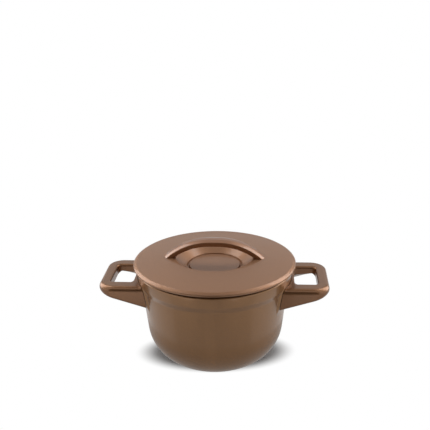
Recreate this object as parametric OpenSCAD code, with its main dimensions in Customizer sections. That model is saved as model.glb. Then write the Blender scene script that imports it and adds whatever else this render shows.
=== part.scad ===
// Small round casserole with two loop handles and a lift-off lid.
// The handles lie along X, the base stands on Z = 0, and the pot's axis is Z.
// Sizes are in millimetres.

/* [Pot] */
// Height of the pot, from the base to the rim on which the lid rests
pot_h = 105.5; // [90:0.5:125]
// Outer radius of the wall just below the collar
wall_r = 78; // [70:0.5:90]
// Lean of the wall, in degrees
wall_draft = 6.5; // [4:0.5:8]
// Thickness of the wall
wall_t = 4.5; // [3.5:0.25:5.5]
// Thickness of the floor
floor_t = 5.5; // [4:0.25:7]
// Radius of the flat base
base_r = 40; // [34:0.5:44]
// Radius of the round bottom corner
corner_r = 43; // [38:0.5:46]

/* [Collar] */
// Height of the collar below the rim
collar_h = 14; // [10:0.5:18]
// Step from the wall out to the collar's lower edge
collar_step = 2.2; // [1:0.1:4]
// Height of the slope in that step
collar_slope_h = 2.6; // [1.5:0.1:4]
// Outward lean of the collar between its lower edge and the rim
collar_flare = 2.1; // [1:0.1:4]

/* [Handles] */
// Length of a handle outside the collar's lower edge
handle_out = 38.8; // [34:0.2:48]
// Width of a handle along Y
handle_w = 76; // [68:0.5:84]
// Height of the handles' flat top above the collar's lower edge
handle_lift = 1; // [0:0.25:4]
// Slope of the underside, in degrees
handle_slope = 17; // [14:0.5:20]
// Radius of the rounded outer end, seen from the side
nose_r = 4.75; // [4:0.25:5.5]
// Radius of the outer corners, seen from above
handle_corner_r = 17; // [12:0.5:22]
// Radius along the top edges of the legs
handle_edge_r = 3.5; // [2:0.25:5]
// Width of each leg along Y
leg_w = 16.5; // [13:0.5:19]
// Width of the outer bar along X
bar_w = 11.5; // [10:0.5:15]
// Thickness of the bar beside the pot, outside the collar's lower edge
root_bar_t = 3.2; // [2.5:0.1:5]
// Radius of the corners of the finger window
window_corner_r = 4; // [3:0.25:8]
// Depth below the flat top at which the window widens towards the underside
relief_drop = 9.25; // [8:0.25:13]
// Radius of the round hollow under the legs
relief_r = 31; // [28:0.5:40]
// Rise of that hollow towards the outer bar, in degrees
relief_slope = 4.5; // [0:0.5:12]
// Distance from the ends of the window to the ends of that hollow
relief_land = 1.5; // [0.5:0.25:3]
// Seam between a handle and its pad
seam_gap = 0.2; // [0.1:0.05:0.4]

/* [Handle screws] */
// Thread diameter of the handle screws
handle_screw_d = 5; // [4:0.5:6]
// Diameter of the flat heads
handle_head_d = 9.6; // [8.5:0.1:10.5]
// Distance between the two screws of one handle
handle_screw_pitch = 24; // [18:0.5:28]
// Depth of the screws below the handle's flat top
handle_screw_drop = 7.5; // [6:0.25:10]
// Metal left between a screw tip and the inside of the pot
tip_cover = 1.5; // [1:0.1:2]
// Width of the hexagon socket in the heads
handle_key_w = 3; // [2.5:0.1:3.5]
// Depth of the hexagon socket in the heads
handle_key_depth = 1.8; // [1:0.1:2.2]

/* [Lid] */
// Overhang of the lid beyond the rim
lid_overhang = 2.7; // [1:0.1:5]
// Height of the lid's upright edge
lid_edge_h = 4.2; // [3.5:0.1:6]
// Radius of the rounding between the edge and the top
lid_edge_r = 1.8; // [1:0.1:2.5]
// Rise of the lid from its edge to its middle
lid_dome = 4.8; // [3:0.1:7]
// Thickness of the lid
lid_t = 3.2; // [2.5:0.1:4]
// Depth of the ring that centres the lid in the pot
skirt_h = 6; // [4:0.25:9]
// Thickness of the centring ring
skirt_t = 2.6; // [2:0.1:4]
// Gap between the centring ring and the inside of the pot
skirt_gap = 0.7; // [0.5:0.05:1.2]

/* [Finger well] */
// Radius of the well at its lip
well_r = 40.5; // [36:0.25:44]
// Height of the steep wall below the lip
lip_h = 3; // [2:0.1:4]
// Inward lean of the steep wall at its foot
lip_lean = 0.9; // [0.4:0.1:1.5]
// Width of the sloping wall of the well
well_cone_w = 11; // [8:0.2:14]
// Height of the sloping wall of the well
well_cone_h = 6.2; // [4:0.1:7]
// Width of the groove round the floor
groove_w = 1.4; // [1:0.1:2]
// Depth of the groove round the floor
groove_depth = 0.6; // [0.3:0.05:1]

/* [Lid grip] */
// Width of the strap along Y
grip_w = 16; // [13:0.25:19]
// Thickness of the strap
grip_t = 6.3; // [5.5:0.1:7]
// Rise of the strap's middle line above its feet
grip_rise = 16.3; // [13:0.1:20]
// Length of the straight stretch in the middle
grip_flat = 8.7; // [4:0.1:16]
// Distance from the lip of the well to the middle of a foot
foot_land = 7; // [6:0.1:9]
// Gap between the feet and the lid
foot_gap = 0.1; // [0.05:0.05:0.3]
// Diameter of the spigot below each foot
spigot_d = 6.6; // [6:0.1:7]
// Length of the spigot inside the lid
spigot_h = 4; // [3.4:0.1:4.5]

/* [Grip screws] */
// Thread diameter of the grip screws
grip_screw_d = 4; // [3:0.5:4]
// Diameter of the screw heads
grip_head_d = 7.4; // [6.5:0.1:8]
// Height of the screw heads
grip_head_h = 2.4; // [1.8:0.1:3]
// Diameter of the washers
washer_d = 9.2; // [8.5:0.1:10]
// Thickness of the washers
washer_t = 1; // [0.6:0.1:1.5]
// Width of the bosses under the lid outside the washers
boss_land = 1.4; // [1:0.1:2]
// Metal between the spigot's hole and the washer
boss_web = 2.2; // [1.6:0.1:3]
// Metal between the thread and the strap's outer face
thread_cover = 1; // [0.8:0.1:1.5]
// Width of the hexagon socket in the heads
grip_key_w = 2.5; // [2:0.1:3]
// Depth of the hexagon socket in the heads
grip_key_depth = 1.4; // [0.8:0.1:1.6]

/* [Fits] */
// Clearance of a screw in its thread or hole, round it and past its tip
screw_clear = 0.1; // [0.05:0.05:0.3]
// Clearance of a spigot in its hole, round it and below it
spigot_clear = 0.25; // [0.1:0.05:0.4]

/* [Hidden] */

bronze = "#8a6a56";
steel = "#b8bcc0";

// Facets of turned shapes, small rounds and very large rounds
turn_fn = 180;
small_fn = 48;
large_fn = 1440;
// Six sides of a key socket
hex_fn = 6;
// A length by which cuts overrun the faces that they open
over = 1;
// Depth by which a straight line cuts into a round that it would only touch
bite = 0.1;
// A length larger than the whole object
far = 4 * (wall_r + handle_out);

// Collar and rim
collar_z = pot_h - collar_h;
collar_r = wall_r + collar_step;
rim_r = collar_r + collar_flare;

// Wall line, and the bottom corner that touches it and runs into the base's edge
wall_top_z = collar_z - collar_slope_h;
draft_tan = tan(wall_draft);
corner_base_r = wall_r - wall_top_z * draft_tan - corner_r / cos(wall_draft);
corner_span = base_r - corner_base_r;
corner_root = sqrt(pow(draft_tan * corner_span, 2)
                   - (1 + pow(draft_tan, 2)) * (pow(corner_span, 2) - pow(corner_r, 2)));
corner_cz = (draft_tan * corner_span + corner_root) / (1 + pow(draft_tan, 2));
corner_cr = corner_base_r + corner_cz * draft_tan;

// Outer and inner radius of the wall at height z
function wall_at(z) = wall_r + (z - wall_top_z) * draft_tan;
function inner_at(z) = wall_at(z) - wall_t / cos(wall_draft);

// Handles: outline, window and sloping underside
handle_reach = collar_r + handle_out;
handle_top_z = collar_z + handle_lift;
half_w = handle_w / 2;
window_x0 = collar_r + root_bar_t;
window_x1 = handle_reach - bar_w;
window_half = half_w - leg_w;
relief_z = handle_top_z - relief_drop;
nose_x = handle_reach - nose_r;
nose_z = handle_top_z + bite - nose_r;
under_x = nose_x + (nose_r - bite) * sin(handle_slope);
under_z = nose_z - (nose_r - bite) * cos(handle_slope);
function underside_at(x) = under_z - (under_x - x) * tan(handle_slope);

// Pads: a cone that leaves the wall where the handle's underside meets it, and ends at the collar
pad_foot_z = underside_at(sqrt(pow(wall_r, 2) - pow(half_w, 2)));
pad_foot_r = wall_at(pad_foot_z);
pad_lean = (collar_r - pad_foot_r) / (collar_z - pad_foot_z);
// The cone runs on inside the wall below its foot
pad_run = wall_t;
pad_in_r = inner_at(pad_foot_z - pad_run);

// Handle screws: the tip stops short of the inside of the pot
handle_screw_z = handle_top_z - handle_screw_drop;
screw_wall_x = sqrt(pow(inner_at(handle_screw_z), 2) - pow(handle_screw_pitch / 2, 2));
handle_screw_l = window_x0 - screw_wall_x - tip_cover;
handle_thread_r = handle_screw_d / 2 + screw_clear;
handle_sink_r = handle_head_d / 2 + screw_clear;

// Lid: a shallow ball cap whose edge is rounded where it meets the upright edge
lid_r = rim_r + lid_overhang;
lid_edge_z = pot_h + lid_edge_h;
dome_r = (pow(lid_r, 2) + pow(lid_dome, 2)) / (2 * lid_dome);
dome_cz = lid_edge_z + lid_dome - dome_r;
function dome_at(r) = dome_cz + sqrt(pow(dome_r, 2) - pow(r, 2));
edge_cr = lid_r - lid_edge_r;
edge_cz = dome_cz + sqrt(pow(dome_r - lid_edge_r, 2) - pow(edge_cr, 2));
edge_touch_r = edge_cr * dome_r / (dome_r - lid_edge_r);
skirt_foot_z = pot_h - skirt_h;
skirt_r = inner_at(skirt_foot_z) - skirt_gap;
skirt_in_r = skirt_r - skirt_t;

// Finger well: lip, steep wall, sloping wall and floor
lip_z = dome_at(well_r);
cone_r = well_r - lip_lean;
cone_z = lip_z - lip_h;
well_floor_r = cone_r - well_cone_w;
well_floor_z = cone_z - well_cone_h;

// Lid grip: a straight middle and an arc down to each foot
foot_x = well_r + foot_land;
foot_z = dome_at(foot_x);
arc_span = foot_x - grip_flat / 2;
arc_r = (pow(arc_span, 2) + pow(grip_rise, 2)) / (2 * grip_rise);
arc_cz = foot_z + grip_rise - arc_r;
// Each arc runs on below its foot before it is cut to the lid
arc_angle = asin(arc_span / arc_r) + atan(grip_t / arc_r);
spigot_foot_z = foot_z - spigot_h;
spigot_hole_z = spigot_foot_z - spigot_clear;
grip_thread_r = grip_screw_d / 2 + screw_clear;
thread_top_z = arc_cz + sqrt(pow(arc_r + grip_t / 2, 2) - pow(arc_span + grip_thread_r, 2)) - thread_cover;
boss_d = washer_d + 2 * boss_land;
boss_z = spigot_hole_z - boss_web;
washer_z = boss_z - washer_t;
head_z = washer_z - grip_head_h;

// Flat shape of the pot's outside, from the axis to the wall
module pot_outside() {
    touch_r = corner_r - bite;
    intersection() {
        square([far, pot_h]);
        union() {
            translate([corner_cr, corner_cz]) circle(r = corner_r, $fn = 2 * turn_fn);
            square([corner_cr, wall_top_z]);
            polygon([[0, corner_cz],
                     [corner_cr + touch_r * cos(wall_draft), corner_cz - touch_r * sin(wall_draft)],
                     [wall_r, wall_top_z],
                     [0, wall_top_z]]);
            polygon([[0, wall_top_z],
                     [wall_r, wall_top_z],
                     [collar_r, collar_z],
                     [rim_r, pot_h],
                     [0, pot_h]]);
        }
    }
}

// Flat shape of the pot's inside
module pot_inside() {
    inner_r = corner_r - wall_t;
    touch_r = inner_r - bite;
    intersection() {
        translate([0, floor_t]) square(far);
        union() {
            translate([corner_cr, corner_cz]) circle(r = inner_r, $fn = 2 * turn_fn);
            square([corner_cr, pot_h]);
            polygon([[0, corner_cz],
                     [corner_cr + touch_r * cos(wall_draft), corner_cz - touch_r * sin(wall_draft)],
                     [inner_at(pot_h + over), pot_h + over],
                     [0, pot_h + over]]);
        }
    }
}

// Both pads of the pot, as wide as the handles
module pads() {
    intersection() {
        rotate_extrude($fn = turn_fn)
            polygon([[pad_in_r, pad_foot_z - pad_run],
                     [pad_foot_r - pad_run * pad_lean, pad_foot_z - pad_run],
                     [collar_r, collar_z],
                     [pad_in_r, collar_z]]);
        translate([-far / 2, -half_w, 0]) cube([far, handle_w, pot_h]);
    }
}

// Places its children at the screws of the handle on the +X side, pointing inwards from the window
module at_handle_screws() {
    for (side = [-1, 1])
        translate([window_x0, side * handle_screw_pitch / 2, handle_screw_z]) rotate([0, -90, 0]) children();
}

module pot_body() {
    color(bronze) difference() {
        union() {
            rotate_extrude($fn = turn_fn) pot_outside();
            pads();
        }
        rotate_extrude($fn = turn_fn) pot_inside();
        for (turn = [0, 180]) rotate([0, 0, turn]) at_handle_screws()
            cylinder(r = handle_thread_r, h = handle_screw_l + screw_clear, $fn = small_fn);
    }
}

// Handle seen from above, without the window; it runs past the rounded end, which cuts it off
module handle_plan() {
    straight_half = half_w - handle_corner_r;
    corner_x = handle_reach + over / 2 - handle_corner_r;
    translate([0, -half_w]) square([corner_x, handle_w]);
    translate([0, -straight_half]) square([corner_x + handle_corner_r, 2 * straight_half]);
    for (side = [-1, 1])
        translate([corner_x, side * straight_half]) circle(r = handle_corner_r, $fn = turn_fn);
}

// Finger window seen from above
module window_plan() {
    straight_half = window_half - window_corner_r;
    length = window_x1 - window_x0;
    translate([window_x0, -straight_half]) square([length, 2 * straight_half]);
    translate([window_x0 + window_corner_r, -window_half])
        square([length - 2 * window_corner_r, 2 * window_half]);
    for (x = [window_x0 + window_corner_r, window_x1 - window_corner_r], side = [-1, 1])
        translate([x, side * straight_half]) circle(r = window_corner_r, $fn = small_fn);
}

// Handle seen from the side: flat top, sloping underside and rounded end
module handle_side() {
    intersection() {
        square([far, handle_top_z]);
        union() {
            polygon([[0, underside_at(0)],
                     [under_x, under_z],
                     [nose_x, nose_z],
                     [nose_x, handle_top_z],
                     [0, handle_top_z]]);
            translate([nose_x, nose_z]) circle(r = nose_r, $fn = turn_fn);
        }
    }
}

// Handle seen along X: straight sides with rounded top edges
module handle_end() {
    low_z = underside_at(0);
    flat_half = half_w - handle_edge_r;
    translate([-half_w, low_z]) square([handle_w, handle_top_z - handle_edge_r - low_z]);
    translate([-flat_half, low_z]) square([2 * flat_half, handle_top_z - low_z]);
    for (side = [-1, 1])
        translate([side * flat_half, handle_top_z - handle_edge_r]) circle(r = handle_edge_r, $fn = small_fn);
}

// Room for the fingers under the legs: a round hollow a little shorter than the window
module finger_relief() {
    axis_drop = sqrt(pow(relief_r, 2) - pow(window_half, 2));
    intersection() {
        translate([window_x0, 0, relief_z]) rotate([0, 90 - relief_slope, 0])
            translate([axis_drop, 0, -relief_r]) cylinder(r = relief_r, h = far / 2, $fn = turn_fn);
        translate([window_x0 + relief_land, -half_w, 0])
            cube([window_x1 - window_x0 - 2 * relief_land, handle_w, pot_h]);
    }
}

// The pads and the collar, larger by the seam, for cutting the handle's root
module root_cut() {
    low_z = underside_at(0);
    rotate_extrude($fn = turn_fn)
        polygon([[0, low_z],
                 [collar_r + seam_gap - (collar_z - low_z) * pad_lean, low_z],
                 [collar_r + seam_gap, collar_z],
                 [rim_r + seam_gap, pot_h],
                 [0, pot_h]]);
}

// The loop handle on the +X side
module handle() {
    sink_h = handle_sink_r - handle_thread_r;
    color(bronze) difference() {
        intersection() {
            linear_extrude(pot_h) handle_plan();
            rotate([90, 0, 0]) linear_extrude(handle_w + 2 * over, center = true) handle_side();
            rotate([90, 0, 90]) linear_extrude(handle_reach + over) handle_end();
        }
        linear_extrude(pot_h) window_plan();
        finger_relief();
        root_cut();
        at_handle_screws() translate([0, 0, -over]) {
            cylinder(r = handle_thread_r, h = handle_screw_l + over, $fn = small_fn);
            cylinder(r1 = handle_sink_r + over, r2 = handle_thread_r, h = sink_h + over, $fn = small_fn);
        }
    }
}

// The flat-headed screws of the handle on the +X side
module handle_screws() {
    head_h = (handle_head_d - handle_screw_d) / 2;
    color(steel) at_handle_screws() difference() {
        union() {
            cylinder(d1 = handle_head_d, d2 = handle_screw_d, h = head_h, $fn = small_fn);
            cylinder(d = handle_screw_d, h = handle_screw_l, $fn = small_fn);
        }
        translate([0, 0, -over])
            cylinder(d = handle_key_w / cos(180 / hex_fn), h = handle_key_depth + over, $fn = hex_fn);
    }
}

module handle_left() {
    rotate([0, 0, 180]) handle();
}

module handle_right() {
    handle();
}

module handle_screws_left() {
    rotate([0, 0, 180]) handle_screws();
}

module handle_screws_right() {
    handle_screws();
}

// Flat shape below a ball surface that lies grow above the lid's top, from bottom_z up and out to reach
module under_dome(grow, bottom_z, reach) {
    intersection() {
        translate([0, dome_cz]) circle(r = dome_r + grow, $fn = large_fn);
        translate([0, bottom_z]) square([reach, far]);
    }
}

// Flat shape of the lid's plate with its rounded edge
module lid_plate() {
    under_dome(0, pot_h, edge_touch_r);
    intersection() {
        translate([edge_cr, edge_cz]) circle(r = lid_edge_r, $fn = small_fn);
        translate([0, pot_h]) square(far);
    }
    translate([edge_cr - lid_edge_r, pot_h]) square([2 * lid_edge_r, edge_cz - pot_h]);
}

// Flat shape of the well: its hollow, or with grow also the metal round it
module well_section(grow) {
    polygon([[0, well_floor_z - grow],
             [well_floor_r + grow / 2, well_floor_z - grow],
             [cone_r + grow, cone_z - grow / 2],
             [well_r + grow, lip_z],
             [well_r, lip_z + lid_dome],
             [0, lip_z + lid_dome]]);
}

// Flat shape of the whole lid, without bosses and holes
module lid_section() {
    difference() {
        union() {
            difference() {
                union() {
                    lid_plate();
                    translate([skirt_in_r, skirt_foot_z]) square([skirt_t, skirt_h]);
                }
                under_dome(-lid_t, skirt_foot_z - over, skirt_in_r);
            }
            intersection() {
                well_section(lid_t);
                under_dome(0, 0, lid_r);
            }
        }
        well_section(0);
        translate([well_floor_r - groove_w, well_floor_z - groove_depth])
            square([groove_w, groove_depth + over]);
    }
}

// Places its children below both feet of the grip
module at_feet(z) {
    for (side = [-1, 1]) translate([side * foot_x, 0, z]) children();
}

module lid_shell() {
    color(bronze) difference() {
        union() {
            rotate_extrude($fn = turn_fn) lid_section();
            difference() {
                at_feet(boss_z) cylinder(d = boss_d, h = foot_z - lid_t / 2 - boss_z, $fn = small_fn);
                rotate_extrude($fn = turn_fn) well_section(lid_t / 2);
            }
        }
        at_feet(spigot_hole_z) cylinder(r = spigot_d / 2 + spigot_clear, h = pot_h, $fn = small_fn);
        at_feet(boss_z - over) cylinder(r = grip_thread_r, h = pot_h, $fn = small_fn);
    }
}

// Section of the strap: flat top and bottom, round edges
module strap_section() {
    flat = grip_w - grip_t;
    translate([-grip_t / 2, -flat / 2]) square([grip_t, flat]);
    for (side = [-1, 1]) translate([0, side * flat / 2]) circle(d = grip_t, $fn = small_fn);
}

// The strap before it is cut to the lid: the arcs start at the ends of the straight middle
module strap() {
    translate([0, 0, arc_cz]) {
        translate([0, 0, arc_r]) rotate([0, 90, 0]) linear_extrude(grip_flat, center = true) strap_section();
        for (turn = [0, 180])
            rotate([0, 0, turn]) translate([grip_flat / 2, 0, 0]) rotate([0, -90, -90])
                rotate_extrude(angle = arc_angle, $fn = 2 * turn_fn) translate([arc_r, 0]) strap_section();
    }
}

module lid_grip() {
    color(bronze) difference() {
        union() {
            difference() {
                strap();
                rotate_extrude($fn = turn_fn) under_dome(foot_gap, 0, lid_r);
            }
            at_feet(spigot_foot_z) cylinder(d = spigot_d, h = spigot_h + foot_gap, $fn = small_fn);
        }
        at_feet(spigot_foot_z - over)
            cylinder(r = grip_thread_r, h = thread_top_z - spigot_foot_z + over, $fn = small_fn);
    }
}

module grip_screws() {
    tip_z = thread_top_z - screw_clear;
    color(steel) difference() {
        union() {
            at_feet(head_z) cylinder(d = grip_head_d, h = grip_head_h, $fn = small_fn);
            at_feet(head_z) cylinder(d = grip_screw_d, h = tip_z - head_z, $fn = small_fn);
        }
        at_feet(head_z - over)
            cylinder(d = grip_key_w / cos(180 / hex_fn), h = grip_key_depth + over, $fn = hex_fn);
    }
}

module grip_washers() {
    color(steel) difference() {
        at_feet(washer_z) cylinder(d = washer_d, h = washer_t, $fn = small_fn);
        at_feet(washer_z - over) cylinder(r = grip_thread_r, h = washer_t + 2 * over, $fn = small_fn);
    }
}

pot_body();
handle_left();
handle_right();
handle_screws_left();
handle_screws_right();
lid_shell();
lid_grip();
grip_screws();
grip_washers();
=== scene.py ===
"""Looks of a small round casserole: bronze-coated castings, steel fasteners and a plain studio.

Sizes are in millimetres and become metres when a mesh is made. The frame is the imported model's: the
handles lie along X, the pot's axis is Z, and the base stands on Z = 0.
"""

import logging
import math
from dataclasses import dataclass, field
from enum import Enum
from typing import Any, Callable, Iterable, Sequence

import bmesh
import bpy
from mathutils import Matrix, Vector

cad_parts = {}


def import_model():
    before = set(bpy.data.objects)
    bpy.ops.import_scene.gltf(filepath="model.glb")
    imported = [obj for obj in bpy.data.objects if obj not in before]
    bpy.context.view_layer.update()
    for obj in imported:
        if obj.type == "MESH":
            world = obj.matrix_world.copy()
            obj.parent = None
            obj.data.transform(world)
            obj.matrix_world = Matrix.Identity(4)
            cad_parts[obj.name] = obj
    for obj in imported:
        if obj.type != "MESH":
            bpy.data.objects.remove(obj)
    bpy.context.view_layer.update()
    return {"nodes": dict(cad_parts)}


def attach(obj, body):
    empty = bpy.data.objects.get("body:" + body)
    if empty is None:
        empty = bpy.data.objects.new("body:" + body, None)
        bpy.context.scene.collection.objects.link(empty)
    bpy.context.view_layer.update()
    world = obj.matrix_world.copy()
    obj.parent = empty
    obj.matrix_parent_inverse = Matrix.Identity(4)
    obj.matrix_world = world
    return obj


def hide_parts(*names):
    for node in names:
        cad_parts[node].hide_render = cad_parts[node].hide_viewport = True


frame: dict[str, Any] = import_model()

LOG = logging.getLogger("casserole")
MM = 0.001
# Angles in degrees above which an edge shades as a sharp one, on castings and on fasteners
CREASE = 40.0
FINE_CREASE = 30.0
WHITE = (1.0, 1.0, 1.0, 1.0)
Colour = tuple[float, float, float]
Place = tuple[float, float, float]
Range = tuple[float, float]
Shape = Callable[[float, float, float], Vector]


class Body(Enum):
    """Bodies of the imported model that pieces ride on."""

    POT = "pot"
    LID = "lid"


class Slot(Enum):
    """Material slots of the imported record."""

    POT = "pot_coating"
    HANDLE = "handle_coating"
    LID = "lid_coating"
    GRIP = "grip_coating"
    SCREW = "screw_steel"
    WASHER = "washer_steel"


class Side(Enum):
    """Sides of the pot that carry a handle, with the turn about Z from the +X side."""

    RIGHT = 0.0
    LEFT = math.pi


class Head(Enum):
    """Forms of screw head."""

    FLAT = "flat"
    CHEESE = "cheese"


class Operation(Enum):
    """Ways to combine a piece with other solids."""

    ADD = "UNION"
    CUT = "DIFFERENCE"


# Shapes


def smooth_step(low: float, high: float, value: float) -> float:
    """Rises smoothly from 0 at low to 1 at high.

    Args:
        low: Value below which the result is 0.
        high: Value above which the result is 1.
        value: Value to place between them.

    Returns:
        The share between 0 and 1.
    """
    share = min(1.0, max(0.0, (value - low) / (high - low)))
    return share * share * (3 - 2 * share)


def mix(first: float, second: float, share: float) -> float:
    """Gives first at share 0 and second at share 1."""
    return first + (second - first) * share


def spread(start: float, end: float, count: int) -> list[float]:
    """Gives count + 1 evenly spaced values from start to end."""
    return [mix(start, end, step / count) for step in range(count + 1)]


def round_columns(count: int) -> list[float]:
    """Gives count evenly spaced angles round an axis, in radians."""
    return spread(0, 2 * math.pi, count)[:-1]


def arc(centre: Sequence[float], radius: float, start: float, end: float, steps: int) -> list[Vector]:
    """Lays points along a flat arc.

    Args:
        centre: Centre of the arc.
        radius: Radius of the arc.
        start: First angle in degrees.
        end: Last angle in degrees.
        steps: Number of steps between them.

    Returns:
        The points, both ends included.
    """
    angles = [math.radians(angle) for angle in spread(start, end, steps)]
    return [Vector((centre[0] + radius * math.cos(a), centre[1] + radius * math.sin(a))) for a in angles]


def bend(start: Vector, corner: Vector, end: Vector, weight: float, steps: int) -> list[Vector]:
    """Lays points along a round that is tangent to the lines through its corner.

    Args:
        start: Point where the round leaves the first line.
        corner: Point where the two lines cross.
        end: Point where the round joins the second line.
        weight: Sine of half the angle between the lines, which makes the round circular.
        steps: Number of steps along the round.

    Returns:
        The points, both ends included.
    """
    points = []
    for share in spread(0, 1, steps):
        at_start = (1 - share) ** 2
        at_corner = 2 * weight * share * (1 - share)
        at_end = share**2
        total = at_start + at_corner + at_end
        points.append((start * at_start + corner * at_corner + end * at_end) / total)
    return points


def soften(corners: Sequence[tuple[float, float, float]], steps: int = 6) -> list[Vector]:
    """Rounds the corners of an open flat path.

    Args:
        corners: Radius, height and rounding of each corner; the ends take no rounding.
        steps: Number of steps along each round.

    Returns:
        The points of the rounded path.
    """
    points = [Vector(corners[0][:2])]
    for before, corner, after in zip(corners, corners[1:], corners[2:]):
        here = Vector(corner[:2])
        if corner[2] == 0:
            points.append(here)
            continue
        back = (Vector(before[:2]) - here).normalized()
        ahead = (Vector(after[:2]) - here).normalized()
        half = back.angle(ahead) / 2
        setback = corner[2] / math.tan(half)
        points += bend(here + back * setback, here, here + ahead * setback, math.sin(half), steps)
    points.append(Vector(corners[-1][:2]))
    return points


def sharp(points: Iterable[Vector]) -> list[tuple[float, float, float]]:
    """Gives flat points as corners without rounding."""
    return [(point.x, point.y, 0.0) for point in points]


def refine(path: Sequence[Vector], longest: Callable[[Vector], float]) -> list[Vector]:
    """Splits the long steps of a flat path.

    Args:
        path: Points of the path.
        longest: Gives the longest step allowed at a point.

    Returns:
        The path with extra points on its long steps.
    """
    points = [path[0]]
    for before, after in zip(path, path[1:]):
        length = (after - before).length
        count = max(1, math.ceil(length / longest((before + after) / 2)))
        points += [before.lerp(after, share) for share in spread(0, 1, count)[1:]]
    return points


def on_circle(radius: float, height: float, angle: float) -> Vector:
    """Gives the point of a turned shape at that angle."""
    return Vector((radius * math.cos(angle), radius * math.sin(angle), height))


@dataclass
class Skin:
    """Points and faces of one piece, gathered in millimetres before they become a mesh."""

    points: list[Vector] = field(default_factory=list)
    faces: list[tuple[int, ...]] = field(default_factory=list)
    finishes: list[int] = field(default_factory=list)

    def row(self, points: Iterable[Vector]) -> list[int]:
        """Adds a row of points.

        Args:
            points: The points, in order.

        Returns:
            Their numbers in this skin.
        """
        start = len(self.points)
        self.points += list(points)
        return list(range(start, len(self.points)))

    def join(self, first: list[int], second: list[int], finish: int = 0) -> None:
        """Adds the faces between two closed rows; a row of one point makes a fan.

        Args:
            first: Numbers of the first row.
            second: Numbers of the second row.
            finish: Which of the piece's materials the faces take.
        """
        count = max(len(first), len(second))
        for step in range(count):
            after = (step + 1) % count
            low = [first[step], first[after]] if len(first) > 1 else [first[0]]
            high = [second[after], second[step]] if len(second) > 1 else [second[0]]
            self.faces.append(tuple(low + high))
            self.finishes.append(finish)

    def card(self, corners: Iterable[Vector]) -> None:
        """Adds one flat face with those corners."""
        self.faces.append(tuple(self.row(corners)))
        self.finishes.append(0)

    def turn(
        self,
        profile: Sequence[Vector],
        columns: Sequence[float],
        shape: Shape = on_circle,
        finish_of: Callable[[int], int] = lambda step: 0,
        closed: bool = False,
    ) -> None:
        """Turns a flat profile about Z.

        Args:
            profile: Radius and height of each point; a radius of 0 makes a pole.
            columns: Angles of the columns, in order round the axis.
            shape: Gives the point at a radius, height and angle.
            finish_of: Gives the material of the faces that start at a profile step.
            closed: Whether the profile's last point joins its first.
        """
        rows = []
        for radius, height in profile:
            angles = columns if radius > 0 else columns[:1]
            rows.append(self.row(shape(radius, height, angle) for angle in angles))
        for step, (first, second) in enumerate(zip(rows, rows[1:])):
            self.join(first, second, finish_of(step))
        if closed:
            self.join(rows[-1], rows[0], finish_of(len(rows) - 1))

    def moved(self, places: Iterable[Matrix]) -> "Skin":
        """Copies this skin to each place.

        Args:
            places: Matrices that place the copies.

        Returns:
            One skin with all copies.
        """
        copies = Skin()
        for place in places:
            start = len(copies.points)
            copies.points += [place @ point for point in self.points]
            copies.faces += [tuple(start + number for number in face) for face in self.faces]
            copies.finishes += self.finishes
        return copies

    def piece(self, name: str, crease: float = CREASE) -> bpy.types.Object:
        """Makes the mesh object.

        Args:
            name: Name of the piece.
            crease: Angle in degrees above which an edge shades as a sharp one.

        Returns:
            The new object, linked to the scene.
        """
        mesh = bpy.data.meshes.new(name)
        mesh.from_pydata([point * MM for point in self.points], [], self.faces)
        for _ in range(max(self.finishes) + 1):
            mesh.materials.append(None)
        mesh.polygons.foreach_set("material_index", self.finishes)
        made = bpy.data.objects.new(name, mesh)
        bpy.context.scene.collection.objects.link(made)
        shade(made, crease)
        return made


def shade(piece: bpy.types.Object, crease: float) -> None:
    """Turns a closed mesh's faces outwards and shades them smooth up to an angle.

    Args:
        piece: Mesh object to shade.
        crease: Angle in degrees above which an edge stays sharp.
    """
    work = bmesh.new()
    work.from_mesh(piece.data)
    bmesh.ops.recalc_face_normals(work, faces=work.faces)
    for face in work.faces:
        face.smooth = True
    work.to_mesh(piece.data)
    work.free()
    piece.data.set_sharp_from_angle(angle=math.radians(crease))


def combine(
    piece: bpy.types.Object, others: Sequence[bpy.types.Object], operation: Operation
) -> None:
    """Adds other solids to a piece, or cuts them out of it, and deletes them.

    Args:
        piece: Mesh object that is changed.
        others: Solids to add or to cut out.
        operation: Whether they are added or cut out.
    """
    for other in others:
        step = piece.modifiers.new("combine", "BOOLEAN")
        step.operation = operation.value
        step.solver = "EXACT"
        step.object = other
    bpy.context.view_layer.update()
    result = piece.evaluated_get(bpy.context.evaluated_depsgraph_get())
    mesh = bpy.data.meshes.new_from_object(result)
    piece.modifiers.clear()
    piece.data = mesh
    for other in others:
        bpy.data.objects.remove(other)
    shade(piece, CREASE)


def even_normals(piece: bpy.types.Object) -> None:
    """Keeps flat faces flat in shading beside narrow rounds."""
    piece.modifiers.new("even_normals", "WEIGHTED_NORMAL").keep_sharp = True


# Finishes


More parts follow.
